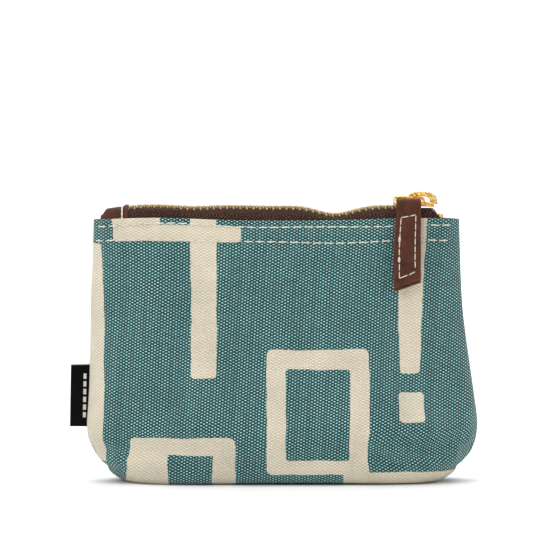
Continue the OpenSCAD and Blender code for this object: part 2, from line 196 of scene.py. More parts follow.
# Soft shapes pressed into the cloth: centre x and z, half-lengths along and across, turn in degrees,
# and how far the cloth comes forward, all but the turn in millimetres. FORM_DEPTH deepens them all.
FRONT_FORMS = [
    (-48, 16, 11, 8, 10, -1.5),
    (-28, 30, 22, 14, 0, 0.8),
    (29.5, 12, 2.2, 9, -8, -1.0),
    (34, 14, 3, 10, -8, 0.7),
    (42, 9, 10, 2.2, -28, -1.0),
    (45, 13, 11, 3, -28, 0.9),
    (57, 24, 9, 9, 0, 1.0),
    (8, 62, 30, 16, 6, -0.9),
    (-40, 66, 18, 12, -12, 0.8),
    (46, 60, 16, 12, 14, 0.7),
    (16, 14, 14, 6, 0, -1.0),
    (-57, 48, 6, 22, 4, -0.8),
    (60, 50, 5, 18, -6, -0.8),
]
BACK_FORMS = [
    (36, 18, 14, 9, -12, -1.3),
    (10, 34, 24, 14, 0, 0.9),
    (-30, 12, 3, 10, 12, -0.9),
    (-36, 16, 10, 3, 25, 0.8),
    (-12, 64, 28, 14, -8, -0.9),
    (40, 62, 18, 12, 10, 0.8),
    (-52, 44, 8, 20, 0, -0.7),
]


def forms(side, x, z):
    """Sum of the soft shapes on one wall, outwards."""
    total = np.zeros_like(x)
    for cx, cz, along, across, turn, rise in (FRONT_FORMS if side == FRONT else BACK_FORMS):
        c, s = math.cos(math.radians(turn)), math.sin(math.radians(turn))
        dx, dz = x - cx * MM, z - cz * MM
        p = (dx * c + dz * s) / (along * MM)
        q = (dz * c - dx * s) / (across * MM)
        total += FORM_DEPTH * rise * MM * np.exp(-(p * p + q * q))
    return total


def pucker(x, below):
    """Groove that a row of stitches pulls into the cloth, tightest in the middle of each stitch."""
    total = np.zeros_like(x)
    for row in STITCH_ROWS:
        tight = 0.75 + 0.25 * np.cos(2 * math.pi * x / STITCH_PITCH)
        total += -0.22 * MM * tight * bump(below, row, 0.9 * MM)
    hem_swell = 0.35 * MM * bump(below, sum(STITCH_ROWS) / 2, 2.2 * MM)
    return total + hem_swell


def simulated_shell():
    """The canvas shell, left to settle as cloth that is a little too large for its hem and base.

    Returns how far each point of a coarse grid moved, as (side, row, column, axis)."""
    across = np.sin(np.linspace(-1, 1, SHELL_COLUMNS) * math.pi / 2)
    levels = np.linspace(SHELL_LOW, SHELL_HIGH, SHELL_ROWS)
    start = np.array([wall(side, across[None, :], levels[:, None]) for side in (FRONT, BACK)])
    count = SHELL_ROWS * SHELL_COLUMNS
    number = np.arange(2 * count).reshape(2, SHELL_ROWS, SHELL_COLUMNS)
    number[1, :, 0] = number[0, :, 0]
    number[1, :, -1] = number[0, :, -1]
    faces = []
    for side in (0, 1):
        n = number[side]
        quads = np.stack([n[:-1, :-1], n[:-1, 1:], n[1:, 1:], n[1:, :-1]], axis=-1).reshape(-1, 4)
        faces += [tuple(q[::-1] if side else q) for q in quads.tolist()]
    shell = new_object("shell", start * SHELL_SCALE, faces)
    held = shell.vertex_groups.new(name="held")
    rows = np.arange(2 * count) // SHELL_COLUMNS % SHELL_ROWS
    fixed = (rows < 2) | (levels[rows] > PANEL_H - HEM_DEPTH)
    held.add(np.nonzero(fixed)[0].tolist(), 1.0, "REPLACE")
    cloth = shell.modifiers.new("cloth", "CLOTH")
    canvas = cloth.settings
    canvas.quality = 7
    canvas.mass = 0.35
    canvas.tension_stiffness = 30
    canvas.compression_stiffness = 30
    canvas.shear_stiffness = 12
    canvas.bending_stiffness = 6
    canvas.vertex_group_mass = "held"
    canvas.shrink_min = -SHELL_SLACK
    canvas.use_pressure = True
    canvas.uniform_pressure_force = 0.6
    cloth.collision_settings.use_collision = False
    scene = bpy.context.scene
    for step in range(1, SHELL_FRAMES + 1):
        scene.frame_set(step)
    settled = shell.evaluated_get(bpy.context.evaluated_depsgraph_get()).to_mesh()
    places = np.zeros(len(settled.vertices) * 3)
    settled.vertices.foreach_get("co", places)
    places = places.reshape(-1, 3)[number.reshape(-1)].reshape(start.shape) / SHELL_SCALE
    scene.frame_set(1)
    bpy.data.objects.remove(shell)
    moved = places - start
    size = np.linalg.norm(moved, axis=-1, keepdims=True)
    return moved * np.tanh(size / SHELL_LIMIT) / np.maximum(size / SHELL_LIMIT, 1e-9)


def finer(field):
    """The field on a grid SHELL_FINE times as fine, rounded off between its points."""
    kernel = np.convolve(np.ones(SHELL_FINE), np.ones(SHELL_FINE)) / SHELL_FINE ** 2
    for axis in (1, 2):
        count = field.shape[axis]
        places = np.linspace(0, count - 1, (count - 1) * SHELL_FINE + 1)
        low = np.minimum(places.astype(int), count - 2)
        share = np.expand_dims(places - low, [a for a in range(4) if a != axis])
        field = np.take(field, low, axis) * (1 - share) + np.take(field, low + 1, axis) * share
        pad = [(0, 0)] * 4
        pad[axis] = (SHELL_FINE - 1, SHELL_FINE - 1)
        padded = np.pad(field, pad, mode="edge")
        size = field.shape[axis]
        field = sum(w * np.take(padded, range(k, k + size), axis) for k, w in enumerate(kernel))
    return field


def settle(side, across, z):
    """How far the simulated shell moved at these points."""
    field = settled_field[0 if side == FRONT else 1]
    rows = field.shape[0] - 1
    cols = field.shape[1] - 1
    r = np.clip((z - SHELL_LOW) / (SHELL_HIGH - SHELL_LOW), 0, 1) * rows
    c = (np.arcsin(np.clip(across, -1, 1)) / math.pi + 0.5) * cols
    r0 = np.minimum(r.astype(int), rows - 1)
    c0 = np.minimum(c.astype(int), cols - 1)
    fr = (r - r0)[..., None]
    fc = (c - c0)[..., None]
    low = field[r0, c0] * (1 - fc) + field[r0, c0 + 1] * fc
    high = field[r0 + 1, c0] * (1 - fc) + field[r0 + 1, c0 + 1] * fc
    return low * (1 - fr) + high * fr


def wall(side, across, z, inset=0.0):
    """Points of one wall. across runs from -1 at the left side seam to 1 at the right one."""
    across, z, inset = np.broadcast_arrays(np.asarray(across, float), np.asarray(z, float), inset)
    level = z
    flat = 1 - np.abs(across) ** width_power(z)
    x = middle_x(z) + across * (half_width(z) - inset)
    depth = (half_depth(z) - inset) * flat ** depth_power(z)
    top = PANEL_H + edge_wave(x)
    inner = flat ** 0.5
    clear_of_edges = smooth((PANEL_H - 8 * MM - z) / (20 * MM)) * smooth(z / (8 * MM))
    depth = depth + forms(side, x, z) * inner * clear_of_edges
    if inset.max() < CLOTH_T / 2:
        depth = depth + pucker(x, PANEL_H - z) * inner
    # the side seam is a shallow valley, and so is the seam that boxes each corner
    valley = 0.45 * MM * np.exp(-(depth / (0.9 * MM)) ** 2) * smooth((z - BOX_SEAM_Z) / (3 * MM))
    boxing = 1.0 * MM * bump(z, BOX_SEAM_Z - 0.6 * MM, 1.3 * MM) * smooth((np.abs(across) - 0.84) / 0.1)
    x = x - np.sign(across) * (valley + boxing)
    z = z + (top - PANEL_H) * smooth((z - 60 * MM) / (PANEL_H - 60 * MM))
    # the base's front and back edges rise a little between the corners
    z = z + 0.7 * MM * (1 - smooth(z / (14 * MM))) * (1 - np.clip(np.abs(x - 8 * MM) / (54 * MM), 0, 1) ** 2)
    point = np.stack([x, side * depth, z], axis=-1)
    return point if settled_field is None else point + settle(side, across, level)


def columns(count):
    """Column positions across a wall, closer together towards the side seams and beside the middle."""
    half = np.sin(np.linspace(0, 1, count) * math.pi / 2)
    half = np.insert(half, 1, 0.002)
    return np.concatenate([-half[::-1], half[1:]])


# ---------------------------------------------------------------- mesh helpers

def new_object(name, verts, faces, material=None):
    mesh = bpy.data.meshes.new(name)
    mesh.from_pydata([tuple(v) for v in np.asarray(verts, float).reshape(-1, 3)], [], faces)
    mesh.update()
    made = bpy.data.objects.new(name, mesh)
    bpy.context.scene.collection.objects.link(made)
    if material is not None:
        mesh.materials.append(material)
    mesh.shade_smooth()
    return made


def grid_faces(rows, cols, flip=False):
    faces = []
    for r in range(rows - 1):
        for c in range(cols - 1):
            a = r * cols + c
            quad = (a, a + 1, a + cols + 1, a + cols)
            faces.append(quad[::-1] if flip else quad)
    return faces


def tube_faces(rings, around):
    """Faces of a closed tube of rings with that many points each, and of its two ends."""
    faces = []
    for r in range(rings - 1):
        for k in range(around):
            a = r * around + k
            b = r * around + (k + 1) % around
            faces.append((a, b, b + around, a + around))
    faces.append(tuple(range(around))[::-1])
    faces.append(tuple(range((rings - 1) * around, rings * around)))
    return faces


def set_uv(made, uv):
    """One (u, v) pair per vertex, in metres along the cloth or leather."""
    layer = made.data.uv_layers.new(name="along")
    index = np.zeros(len(made.data.loops), dtype=np.int64)
    made.data.loops.foreach_get("vertex_index", index)
    layer.data.foreach_set("uv", np.asarray(uv, np.float32).reshape(-1, 2)[index].ravel())


def grid_object(name, points, uv, material, flip=False):
    rows, cols = points.shape[:2]
    made = new_object(name, points, grid_faces(rows, cols, flip), material)
    set_uv(made, uv)
    return made


def apply_modifiers(made):
    depsgraph = bpy.context.evaluated_depsgraph_get()
    mesh = bpy.data.meshes.new_from_object(made.evaluated_get(depsgraph))
    made.modifiers.clear()
    made.data = mesh


def thicken(made, thickness):
    solid = made.modifiers.new("thickness", "SOLIDIFY")
    solid.thickness = thickness
    solid.offset = -1.0
    solid.use_even_offset = True
    apply_modifiers(made)


def bevelled(made, width, segments=3, angle=35):
    edge = made.modifiers.new("edges", "BEVEL")
    edge.width = width
    edge.segments = segments
    edge.limit_method = "ANGLE"
    edge.angle_limit = math.radians(angle)
    apply_modifiers(made)
    made.data.shade_smooth()


def lengths(points, axis):
    """Distance run along one axis of a grid of points, 0 at the first."""
    step = np.linalg.norm(np.diff(points, axis=axis), axis=-1)
    run = np.cumsum(step, axis=axis)
    pad = [(0, 0)] * run.ndim
    pad[axis] = (1, 0)
    return np.pad(run, pad)


def join(name, parts):
    """One object from several meshes, which all lie in the frame already."""
    kit = bmesh.new()
    for part in parts:
        kit.from_mesh(part.data)
    mesh = bpy.data.meshes.new(name)
    kit.to_mesh(mesh)
    kit.free()
    for slot in parts[0].data.materials:
        mesh.materials.append(slot)
    for part in parts:
        bpy.data.objects.remove(part)
    made = bpy.data.objects.new(name, mesh)
    bpy.context.scene.collection.objects.link(made)
    return made


def face_outwards(made, merge=0.0):
    """Turn a closed mesh's faces outwards, after joining points closer than merge."""
    kit = bmesh.new()
    kit.from_mesh(made.data)
    if merge:
        bmesh.ops.remove_doubles(kit, verts=kit.verts[:], dist=merge)
    bmesh.ops.recalc_face_normals(kit, faces=kit.faces[:])
    kit.to_mesh(made.data)
    kit.free()


def half_name(kind, word, right):
    return f"{kind}_{word}_{'right' if right else 'left'}"


def swing(piece):
    """Bakes a half of a wall into the frame: its placement goes into its mesh."""
    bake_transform(piece)


# ---------------------------------------------------------------- node helpers

class Value:
    """One output of a material's nodes. Plain arithmetic on it adds math nodes."""

    def __init__(self, nodes, socket):
        self.nodes = nodes
        self.socket = socket

    def __add__(self, other):
        return self.nodes.math("ADD", self, other)

    def __radd__(self, other):
        return self.nodes.math("ADD", other, self)

    def __sub__(self, other):
        return self.nodes.math("SUBTRACT", self, other)

    def __rsub__(self, other):
        return self.nodes.math("SUBTRACT", other, self)

    def __mul__(self, other):
        return self.nodes.math("MULTIPLY", self, other)

    def __truediv__(self, other):
        return self.nodes.math("DIVIDE", self, other)

    def __pow__(self, other):
        return self.nodes.math("POWER", self, other)

    def __abs__(self):
        return self.nodes.math("ABSOLUTE", self)


class Nodes:
    """Short ways to add shader nodes to one material."""

    def __init__(self, name):
        self.material = bpy.data.materials.new(name)
        self.material.use_nodes = True
        self.tree = self.material.node_tree
        self.tree.nodes.clear()
        self.output = self.tree.nodes.new("ShaderNodeOutputMaterial")

    def add(self, kind, inputs, **settings):
        """A new node with these settings, and these values or numbers on its inputs."""
        node = self.tree.nodes.new("ShaderNode" + kind)
        for name, setting in settings.items():
            setattr(node, name, setting)
        for key, given in inputs.items():
            if isinstance(given, Value):
                self.tree.links.new(given.socket, node.inputs[key])
            elif given is not None:
                node.inputs[key].default_value = given
        return node

    def math(self, operation, a, b=None):
        node = self.add("Math", {0: a, 1: b}, operation=operation)
        return Value(self, node.outputs[0])

    def vector(self, operation, a, b=None, scale=None):
        node = self.add("VectorMath", {0: a, 1: b, "Scale": scale}, operation=operation)
        return Value(self, node.outputs["Value" if operation == "LENGTH" else "Vector"])

    def split(self, vector):
        node = self.add("SeparateXYZ", {0: vector})
        return [Value(self, socket) for socket in node.outputs]

    def combine(self, x, y, z=0.0):
        return Value(self, self.add("CombineXYZ", {0: x, 1: y, 2: z}).outputs[0])

    def in_millimetres(self, socket):
        return self.vector("SCALE", Value(self, socket), scale=1.0 / MM)

    def along(self):
        """The piece's own (u, v) in millimetres."""
        return self.in_millimetres(self.add("UVMap", {}, uv_map="along").outputs[0])

    def place(self):
        """Position in the object's frame, in millimetres."""
        return self.in_millimetres(self.add("TexCoord", {}).outputs["Object"])

    def pointiness(self):
        """About 0.5 on flat faces, more on edges that stand out and less in hollows."""
        return Value(self, self.add("NewGeometry", {}).outputs["Pointiness"])

    def noise(self, at, scale, detail=2.0, roughness=0.5, output="Fac"):
        inputs = {"Vector": at, "Scale": scale, "Detail": detail, "Roughness": roughness}
        return Value(self, self.add("TexNoise", inputs).outputs[output])

    def shake(self, at, scale, detail, reach):
        """A smooth random vector, up to about half of reach each way."""
        colour = self.noise(at, scale, detail, output="Color")
        return self.vector("SCALE", self.vector("SUBTRACT", colour, (0.5, 0.5, 0.5)), scale=reach)

    def cells(self, at, scale, feature="F1"):
        node = self.add("TexVoronoi", {"Vector": at, "Scale": scale}, feature=feature)
        return Value(self, node.outputs["Distance"])

    def random(self, at):
        node = self.add("TexWhiteNoise", {"Vector": at}, noise_dimensions="3D")
        return Value(self, node.outputs["Value"])

    def ribs(self, across, pitch):
        """Soft ribs, from 0 between them to 1 on top."""
        return self.math("SINE", across * (2 * math.pi / pitch)) * 0.5 + 0.5

    def step(self, value, low, high):
        """Smooth step of value from 0 at low to 1 at high."""
        inputs = {"Value": value, "From Min": low, "From Max": high}
        node = self.add("MapRange", inputs, interpolation_type="SMOOTHSTEP")
        return Value(self, node.outputs["Result"])

    def mix(self, factor, a, b, blend="MIX"):
        node = self.add("Mix", {"Factor": factor}, data_type="RGBA", blend_type=blend)
        colours = [socket for socket in node.inputs if socket.type == "RGBA"]
        for socket, colour in zip(colours, (a, b)):
            if isinstance(colour, Value):
                self.tree.links.new(colour.socket, socket)
            else:
                socket.default_value = (*colour, 1.0)
        return Value(self, next(socket for socket in node.outputs if socket.type == "RGBA"))

    def bump(self, height, distance, normal=None):
        inputs = {"Strength": 1.0, "Distance": distance, "Height": height, "Normal": normal}
        return Value(self, self.add("Bump", inputs).outputs[0])

    def shader(self, colour, roughness, normal, **constants):
        inputs = {"Base Color": colour, "Roughness": roughness, "Normal": normal}
        for name, constant in constants.items():
            inputs[name.replace("_", " ")] = constant
        node = self.add("BsdfPrincipled", inputs)
        self.tree.links.new(node.outputs[0], self.output.inputs["Surface"])
        return self.material


def srgb(*screen):
    """Linear colour from 0-255 screen values."""
    shares = [value / 255 for value in screen]
    return tuple(c / 12.92 if c <= 0.04045 else ((c + 0.055) / 1.055) ** 2.4 for c in shares)


# ---------------------------------------------------------------- cloth materials: lengths in millimetres

GRAIN_SLOPE = 0.05
CANVAS_PITCH = (1.1, 0.583)
LINING_PITCH = (0.4, 0.4)
WARP_SEED = 7.0
WEFT_SEED = 31.0
CROSSING_SEED = 3.0


def plain_weave(n, at, pitch, wander=0.22):
    """Over-and-under weave. Returns the wave (above 0 where the warp is on top), its height, and random
    values for each thread and each crossing."""
    u, v, _ = n.split(n.vector("ADD", at, n.shake(at, 0.35, 2.0, wander * 2)))
    across = (u - v * GRAIN_SLOPE) / pitch[0]
    up = v / pitch[1]
    wave = n.math("SINE", across * math.pi) * n.math("SINE", up * math.pi)
    column = n.math("FLOOR", across)
    row = n.math("FLOOR", up)
    warp = n.random(n.combine(column, WARP_SEED))
    weft = n.random(n.combine(row, WEFT_SEED))
    crossing = n.random(n.combine(column, row, CROSSING_SEED))
    warp_on_top = n.step(wave, -0.1, 0.1)
    thread = warp_on_top * warp + (1.0 - warp_on_top) * weft
    return wave, abs(wave) ** 0.6, thread, crossing


def plain_block(n, u, v, left, right, low, high, corner=1.6, taper=0.0):
    """Signed distance to a bar with rounded corners. taper narrows it towards its foot."""
    half_width_here = (right - left) / 2 - corner
    if taper:
        half_width_here = half_width_here - (high - v) * taper
    over_u = abs(u - (left + right) / 2) - half_width_here
    over_v = abs(v - (low + high) / 2) - ((high - low) / 2 - corner)
    outside = n.combine(n.math("MAXIMUM", over_u, 0.0), n.math("MAXIMUM", over_v, 0.0))
    return n.vector("LENGTH", outside) - corner


# Bars of the print: left, right, low and high edges along the cloth. A tapered bar also says how much its
# half width shrinks for each millimetre down from its top.
FRONT_BARS = [
    (-110, -69.4, 8, 93),
    (-64.5, -15, 93.4, 99.8),
    (-64.5, -46, 96, 110),
    (-34.5, -24.5, 41, 110),
    (-58.5, -17.4, 11.6, 18.4),
    (-25.8, -17, -40, 16.6),
    (24, 32.5, -40, 8),
    (30, 90, -2.6, 5),
    (45.6, 56, 24.4, 35.8),
]
FRONT_TAPERED = [((44.6, 56.6, 43, 112), 0.03), ((-58.5, -43.8, -14, 18), -0.07)]
FRONT_OPENING = ((-5.2, 34.2, 3.8, 52.4), (2.2, 26.6, 9.2, 44.8))
BACK_BARS = [
    (-120, -74, 20, 70),
    (-58, -49, 34, 110),
    (-58, -22, 28, 36),
    (-8, 2, 60, 110),
    (-30, 24, 78, 86),
    (20, 60, 8, 15),
    (20, 29, -40, 15),
    (52, 61, -40, 52),
    (66, 120, 84, 92),
]
BACK_TAPERED = [((36, 46, 62, 112), 0.03)]
BACK_OPENING = ((-34, 6, 6, 48), (-26, -2, 14, 40))


def print_mask(n, at, bars, tapered, opening):
    """1 on the cream figures of the print: plain bars and one open rectangle."""
    wavering = n.vector("ADD", at, n.shake(at, 0.09, 2.0, 1.5))
    frayed = n.vector("ADD", wavering, n.shake(at, 1.1, 1.0, 0.5))
    u, v, _ = n.split(frayed)
    figures = [plain_block(n, u, v, *bar) for bar in bars]
    figures += [plain_block(n, u, v, *bar, taper=taper) for bar, taper in tapered]
    outer = plain_block(n, u, v, *opening[0], corner=2.4)
    inner = plain_block(n, u, v, *opening[1], corner=1.2)
    near = n.math("MAXIMUM", outer, inner * -1.0)
    for figure in figures:
        near = n.math("MINIMUM", near, figure)
    ink_edge = 0.16
    return n.step(near, ink_edge, -ink_edge)


def canvas_material(name, bars, tapered, opening):
    n = Nodes(name)
    at = n.along()
    wave, height, thread, crossing = plain_weave(n, at, CANVAS_PITCH)
    # teal ink on the raised threads, with painted light: a painted highlight on the warp crowns, painted
    # shade on the weft crowns and darker painted shade in the gaps between threads
    ink_with_painted_light = n.mix(n.step(wave, -0.95, -0.25), srgb(16, 72, 77), srgb(0, 18, 23))
    ink_with_painted_light = n.mix(n.step(wave, 0.1, 0.8), ink_with_painted_light, srgb(168, 240, 236))
    ink_with_painted_light = n.mix(n.step(crossing, 0.3, 1.0) * 0.25, ink_with_painted_light, srgb(40, 108, 111))
    ink_with_painted_light = n.mix(n.step(thread, 0.5, 1.0) * 0.2, ink_with_painted_light, srgb(24, 84, 88))
    # the cream gets the same painted light: a painted highlight on the warp crowns and painted shade on the
    # weft crowns and in the gaps
    cream = n.mix(n.step(wave, -0.5, 0.7), srgb(206, 193, 168), srgb(240, 232, 213))
    cream = n.mix(n.step(thread, 0.5, 1.0) * 0.25, cream, srgb(232, 220, 194))
    colour = n.mix(print_mask(n, at, bars, tapered, opening), ink_with_painted_light, cream)
    cloud = n.noise(at, 0.05, 3.0)
    colour = n.mix(n.step(cloud, 0.35, 0.75) * 0.16, colour, srgb(60, 84, 84), "MULTIPLY")
    slub = n.noise(at, 0.8, 3.0) * 0.5
    normal = n.bump(height + slub + n.step(wave, -0.3, 0.5) * 0.5, 0.2 * MM)
    rough = crossing * 0.14 + 0.82
    return n.shader(colour, rough, normal, Sheen_Weight=0.25, Sheen_Roughness=0.6, Specular_IOR_Level=0.25)


def cotton_material(name, mapped=True):
    """Fine plain cotton, laid along the cloth's own map or, without one, by place."""
    n = Nodes(name)
    if mapped:
        at = n.along()
    else:
        x, _, z = n.split(n.place())
        at = n.combine(x, z)
    _, height, thread, _ = plain_weave(n, at, LINING_PITCH, 0.12)
    # painted light on the weave: darker as painted shade low between the threads, lighter on the raised
    # thread tops
    colour = n.mix(n.step(height, 0.0, 0.8), srgb(188, 174, 148), srgb(232, 222, 200))
    colour = n.mix(thread * 0.2, colour, srgb(206, 194, 168))
    return n.shader(colour, 0.9, n.bump(height, 0.06 * MM), Specular_IOR_Level=0.2)


def tape_material():
    """Herringbone twill: ribs that turn back every few millimetres."""
    n = Nodes("zipper tape twill")
    at = n.along()
    u, v, _ = n.split(at)
    turn_back = 3.0
    rib = n.ribs(u + n.math("PINGPONG", v, turn_back), 1.3)
    fuzz = n.noise(at, 1.6, 3.0)
    # the ribs are lighter on top and nearly black between them: painted shade in the grooves of the twill
    colour = n.mix(rib, srgb(12, 6, 5), srgb(80, 54, 45))
    colour = n.mix(n.step(fuzz, 0.5, 0.8) * 0.6, colour, srgb(132, 104, 92))
    return n.shader(colour, 0.85, n.bump(rib + fuzz * 0.6, 0.12 * MM), Specular_IOR_Level=0.12)


def thread_material():
    n = Nodes("sewing thread")
    u, v, _ = n.split(n.along())
    dark = srgb(206, 194, 172)
    ply = n.ribs(u + v * 1.2, 0.5)
    # the ply is painted lighter on its raised strands and darker as painted shade between them
    colour = n.mix(ply, dark, srgb(250, 244, 232))
    colour = n.mix(n.noise(n.place(), 4.0, 2.0) * 0.2, colour, dark)
    # painted shade: the thread is painted darker where it dives into its needle holes
    stitch_end = STITCH_L / MM / 2
    hole = n.step(abs(u), stitch_end - 0.45, stitch_end)
    colour = n.mix(hole * 0.85, colour, srgb(120, 92, 62))
    return n.shader(colour, 0.7, n.bump(ply, 0.08 * MM), Sheen_Weight=0.2)


def label_material():
    n = Nodes("label ribbon")
    u, v, _ = n.split(n.along())
    rib = n.ribs(v, 0.32)
    fine = n.math("SINE", u * (2 * math.pi / 0.3))
    # the ribs are painted lighter on top and darker between them, as painted shade
    cloth = n.mix(rib, srgb(1, 1, 1), srgb(6, 6, 7))
    # a plain woven border: one broken line, and a pale selvage at the top edge
    height = (label_high.z - label_low.z) / MM
    centre = (label_high.x - label_low.x) / MM / 2
    on_line = n.step(abs(u - centre), 0.62, 0.5)
    dash = n.step(n.math("PINGPONG", v, 1.5), 0.4, 0.5)
    inside = n.step(abs(v - height / 2), height / 2 - 3.4, height / 2 - 3.6)
    selvage = n.step(v, height - 0.55, height - 0.35)
    # the pale border gets the same painted shade between its ribs
    pale = n.mix(rib, srgb(176, 172, 162), srgb(236, 232, 222))
    colour = n.mix(n.math("MAXIMUM", on_line * dash * inside, selvage), cloth, pale)
    return n.shader(colour, 0.6, n.bump(rib + fine * 0.3, 0.06 * MM), Specular_IOR_Level=0.08)


# ---------------------------------------------------------------- leather, metal and paper materials

def leather_material():
    n = Nodes("brown leather")
    at = n.place()
    grain = n.step(n.cells(at, 2.6, "DISTANCE_TO_EDGE"), 0.0, 0.22)
    mottle = n.noise(at, 0.22, 4.0, 0.6)
    fine = n.noise(at, 2.2, 4.0, 0.65)
    colour = n.mix(n.step(mottle, 0.3, 0.7), srgb(66, 28, 13), srgb(98, 48, 26))
    colour = n.mix((1.0 - grain) * 0.35, colour, srgb(36, 14, 8))
    colour = n.mix(n.step(fine, 0.5, 0.75) * 0.3, colour, srgb(126, 70, 44))
    # edges are rubbed paler
    worn = n.step(n.pointiness(), 0.51, 0.58)
    colour = n.mix(worn * 0.6, colour, srgb(140, 92, 68))
    rough = fine * 0.2 + 0.46
    return n.shader(colour, rough, n.bump(grain + fine * 0.8, 0.1 * MM), Specular_IOR_Level=0.28)


def metal_material(name, bright, deep, rough_low, rough_high, dents=0.0):
    n = Nodes(name)
    at = n.place()
    cloud = n.noise(at, 0.6, 3.0)
    scratch = n.noise(n.vector("MULTIPLY", at, (0.6, 6.0, 6.0)), 1.2, 3.0, 0.6)
    # painted shade: hollows, found by pointiness, are painted dark brown
    painted_hollow_shade = n.step(n.pointiness(), 0.5, 0.42)
    colour = n.mix(n.step(cloud, 0.3, 0.7), deep, bright)
    colour = n.mix(painted_hollow_shade * 0.7, colour, srgb(74, 48, 22))
    normal = n.bump(scratch, 0.02 * MM)
    if dents:
        normal = n.bump(n.cells(at, 0.9), dents, normal)
    return n.shader(colour, scratch * (rough_high - rough_low) + rough_low, normal, Metallic=1.0)


def floor_material():
    n = Nodes("floor paper")
    at = n.place()
    colour = n.mix(n.noise(at, 0.02, 4.0), (0.90, 0.90, 0.90), (0.93, 0.93, 0.93))
    return n.shader(colour, 0.7, n.bump(n.noise(at, 0.4, 3.0), 0.05 * MM), Specular_IOR_Level=0.1)


CANVAS = {
    FRONT: canvas_material("canvas front", FRONT_BARS, FRONT_TAPERED, FRONT_OPENING),
    BACK: canvas_material("canvas back", BACK_BARS, BACK_TAPERED, BACK_OPENING),
}
LINING = cotton_material("lining cotton")
SEAM = cotton_material("seam allowance cotton", mapped=False)
TAPE = tape_material()
THREAD = thread_material()
LABEL = label_material()
LEATHER = leather_material()
BRASS = metal_material("zipper teeth brass", srgb(255, 236, 192), srgb(240, 206, 148), 0.3, 0.5)
GOLD = metal_material("slider gold", srgb(250, 212, 136), srgb(206, 156, 84), 0.12, 0.34, 0.22 * MM)


# ---------------------------------------------------------------- canvas

def wall_levels():
    """Heights of the rows of a wall, close together at the hinge, the boxing seam and the hem."""
    foot = HINGE_Z + np.array([0, 0.15, 0.4, 0.8, 1.4, 2.2, 3.2, 4.4]) * MM
    body = np.linspace(HINGE_Z + 6 * MM, PANEL_H - 14 * MM, 44)
    hem = np.linspace(PANEL_H - 13.4 * MM, PANEL_H - CLOTH_T / 2, 40)
    return np.concatenate([foot, body, hem])


def wall_points(side, across):
    """Outer face, rolled top edge and the hem turned down inside."""
    outer = wall(side, across[None, :], wall_levels()[:, None])
    roll = []
    for angle in np.linspace(0, 180, 9)[1:]:
        a = math.radians(angle)
        r = CLOTH_T / 2
        row = wall(side, across[None, :], PANEL_H - r, r * (1 - math.cos(a)))
        row[..., 2] += r * math.sin(a)
        roll.append(row)
    down = np.linspace(PANEL_H - CLOTH_T / 2 - 0.5 * MM, PANEL_H - HEM_DEPTH, 8)
    inner = wall(side, across[None, :], down[:, None], CLOTH_T)
    return np.concatenate([outer, *roll, inner])


def cloth_uv(points, first_v):
    """Lengths along the cloth: u from the middle column, v up from the first row."""
    middle = points.shape[1] // 2
    u = lengths(points, 1)
    u = u - u[:, middle : middle + 1] + points[:, middle : middle + 1, 0]
    v = lengths(points, 0)[:, middle : middle + 1] + first_v
    return np.stack([u, np.broadcast_to(v, u.shape)], axis=-1)


def build_walls():
    across = columns(110)
    middle = len(across) // 2
    for side, word in SIDES:
        points = wall_points(side, across)
        uv = cloth_uv(points, HINGE_Z)
        for right in (False, True):
            half = slice(middle, None) if right else slice(0, middle + 1)
            name = half_name("canvas", word, right)
            piece = grid_object(name, points[:, half], uv[:, half], CANVAS[side], flip=side == BACK)
            swing(piece)
            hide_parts(f"{word}_panel", f"{word}_panel_ends")


def build_base():
    """The boxed base: up to the hinge on all sides, and flat underneath."""
    across = columns(110)
    rise = np.array([0, 0.1, 0.25, 0.45, 0.7, 1.0, 1.4, 1.9, 2.5, 3.2, 4.0, 4.9, 5.7, 6.2, 6.5]) * MM
    levels = np.append(rise, HINGE_Z)
    shares = np.array([0.0, 0.2, 0.4, 0.6, 0.75, 0.87, 0.95])
    for side, word in SIDES:
        rim = wall(side, across[None, :], levels[:, None])
        under = rim[0] * np.array([1, 1, 0]) * shares[:, None, None]
        under[..., 2] = rim[0, :, 2] * shares[:, None] ** 2
        points = np.concatenate([under, rim])
        run = lengths(rim, 0)[:, len(across) // 2]
        u = np.concatenate([under[..., 0], cloth_uv(rim, 0)[..., 0]])
        fade = smooth(levels / HINGE_Z)[:, None]
        u[len(shares):] = u[len(shares):] * fade + rim[..., 0] * (1 - fade)
        v_rim = HINGE_Z - (run[-1] - run)
        v_under = v_rim[0] - (np.abs(rim[0, :, 1]) - np.abs(under[..., 1]))
        v = np.concatenate([v_under, np.broadcast_to(v_rim[:, None], rim.shape[:2])])
        uv = np.stack([u, v], axis=-1)
        piece = grid_object(f"canvas_base_{word}", points, uv, CANVAS[side], flip=side == BACK)
        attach(piece, "pouch")
        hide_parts("base_panel")


def build_lining():
    across = columns(40)
    middle = len(across) // 2
    inset = CLOTH_T + TAPE_T + 0.3 * MM
    levels = np.linspace(HINGE_Z, PANEL_H - 8 * MM, 30)
    for side, word in SIDES:
        points = wall(side, across[None, :], levels[:, None], inset)
        uv = cloth_uv(points, HINGE_Z)
        for right in (False, True):
            half = slice(middle, None) if right else slice(0, middle + 1)
            name = half_name("lining", word, right)
            piece = grid_object(name, points[:, half], uv[:, half], LINING, flip=side == FRONT)
            swing(piece)
            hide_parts(f"{word}_lining", "lining_ends")
        low = np.array([1.6, 2.0, 2.8, 4.0, 5.3]) * MM
        rim = wall(side, across[None, :], np.append(low, HINGE_Z)[:, None], inset)
        shares = np.array([0.0, 0.3, 0.6, 0.85])[:, None, None]
        under = rim[0] * (shares * np.array([1, 1, 0]) + np.array([0, 0, 1]))
        points = np.concatenate([under, rim])
        piece = grid_object(f"lining_base_{word}", points, points[..., :2], LINING, flip=side == FRONT)
        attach(piece, "pouch")
        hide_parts("base_lining")


# ---------------------------------------------------------------- stitches

